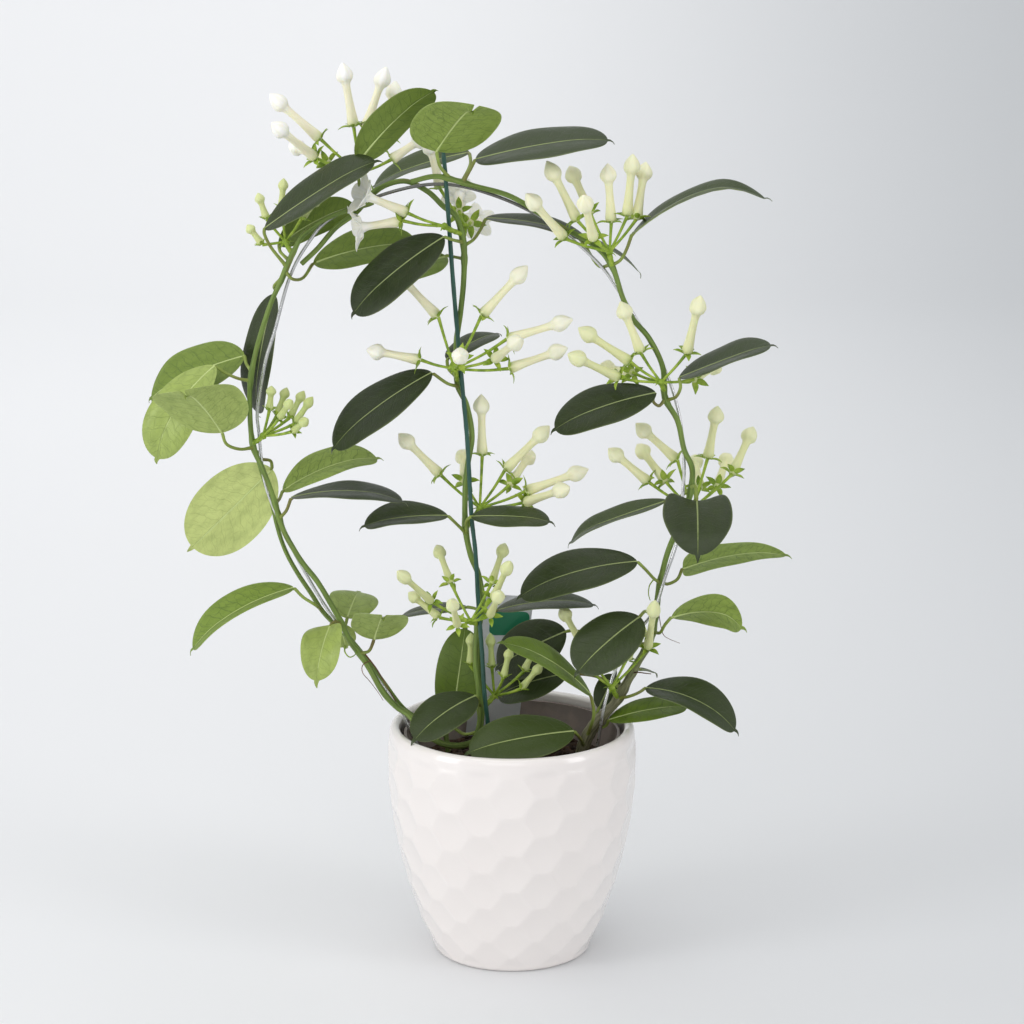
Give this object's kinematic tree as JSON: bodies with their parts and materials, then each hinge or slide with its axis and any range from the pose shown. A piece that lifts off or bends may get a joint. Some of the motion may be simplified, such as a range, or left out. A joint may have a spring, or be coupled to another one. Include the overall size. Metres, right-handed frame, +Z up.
{
  "type": "madagascar jasmine on a wire hoop in a pot",
  "caption": "Climbing jasmine trained round a wire hoop and a centre stake, with leathery leaves and heads of waxy buds, in a glazed dimpled cover pot.",
  "frame": {"origin": "centre of the cover pot's underside", "axes": "+Z up, -Y to the front of the plant, +X to the right as seen from the front; the hoop lies in the plane y = 0"},
  "size_m": [0.3819, 0.1496, 0.5345],
  "materials": {
    "white_glaze": "glossy warm white glaze over shallow hexagonal dimples",
    "taupe_plastic": "thin taupe nursery pot plastic",
    "soil": "dark brown peaty potting soil",
    "hoop_wire": "bright galvanised wire",
    "green_stake": "teal green plastic coating",
    "label_plastic": "translucent frosted plastic with a plain green patch",
    "stem": "green climbing stem, grey-brown and woody near the soil",
    "dark_leaf": "dark green leathery leaf with a waxy sheen and a pale midrib",
    "pale_leaf": "yellow-green leaf, matt, with netted veins",
    "flower": "waxy cream buds on bright green stalks and sepals"
  },
  "bodies": {
    "root": {"arc_dark_leaf": "dark_leaf", "arc_light_leaf": "pale_leaf", "arc_veined_leaf": "pale_leaf", "back_flower_umbel": "flower", "base_centre_umbel": "flower", "base_right_umbel": "flower", "big_pale_leaf": "pale_leaf", "centre_stake": "green_stake", "centre_vine": "stem", "crown_grey_leaf": "dark_leaf", "crown_left_umbel": "flower", "crown_long_leaf": "dark_leaf", "crown_low_leaf": "dark_leaf", "far_left_bright_leaf": "pale_leaf", "far_left_dark_leaf": "dark_leaf", "far_left_heart_leaf": "pale_leaf", "front_bright_leaf": "pale_leaf", "front_dark_leaf": "dark_leaf", "hanging_dark_leaf": "dark_leaf", "hanging_yellow_leaf": "pale_leaf", "hoop_dark_leaf": "dark_leaf", "inner_dark_leaf": "dark_leaf", "inner_long_leaf": "dark_leaf", "inner_veined_leaf": "pale_leaf", "left_shoot": "stem", "left_vine": "stem", "low_heart_leaf": "pale_leaf", "low_left_long_leaf": "dark_leaf", "lower_centre_umbel": "flower", "mid_dark_leaf": "dark_leaf", "middle_centre_umbel": "flower", "nursery_pot": "taupe_plastic", "open_flower_umbel": "flower", "plant_label": "label_plastic", "pot": "white_glaze", "right_arched_leaf": "dark_leaf", "right_dark_leaf": "dark_leaf", "right_drooping_leaf": "dark_leaf", "right_grey_leaf": "dark_leaf", "right_heart_leaf": "dark_leaf", "right_light_leaf": "pale_leaf", "right_lower_umbel": "flower", "right_narrow_leaf": "dark_leaf", "right_shoulder_umbel": "flower", "right_twisted_leaf": "pale_leaf", "right_upper_umbel": "flower", "right_vine": "stem", "rim_front_leaf": "dark_leaf", "rim_left_leaf": "dark_leaf", "shaded_dark_leaf": "dark_leaf", "soil": "soil", "stake_green_leaf": "pale_leaf", "stake_left_leaf": "dark_leaf", "stake_right_leaf": "dark_leaf", "top_heart_leaf": "pale_leaf", "top_veined_leaf": "pale_leaf", "upper_centre_umbel": "flower", "wire_hoop": "hoop_wire", "young_arc_umbel": "flower", "young_left_umbel": "flower"}
  },
  "joints": []
}
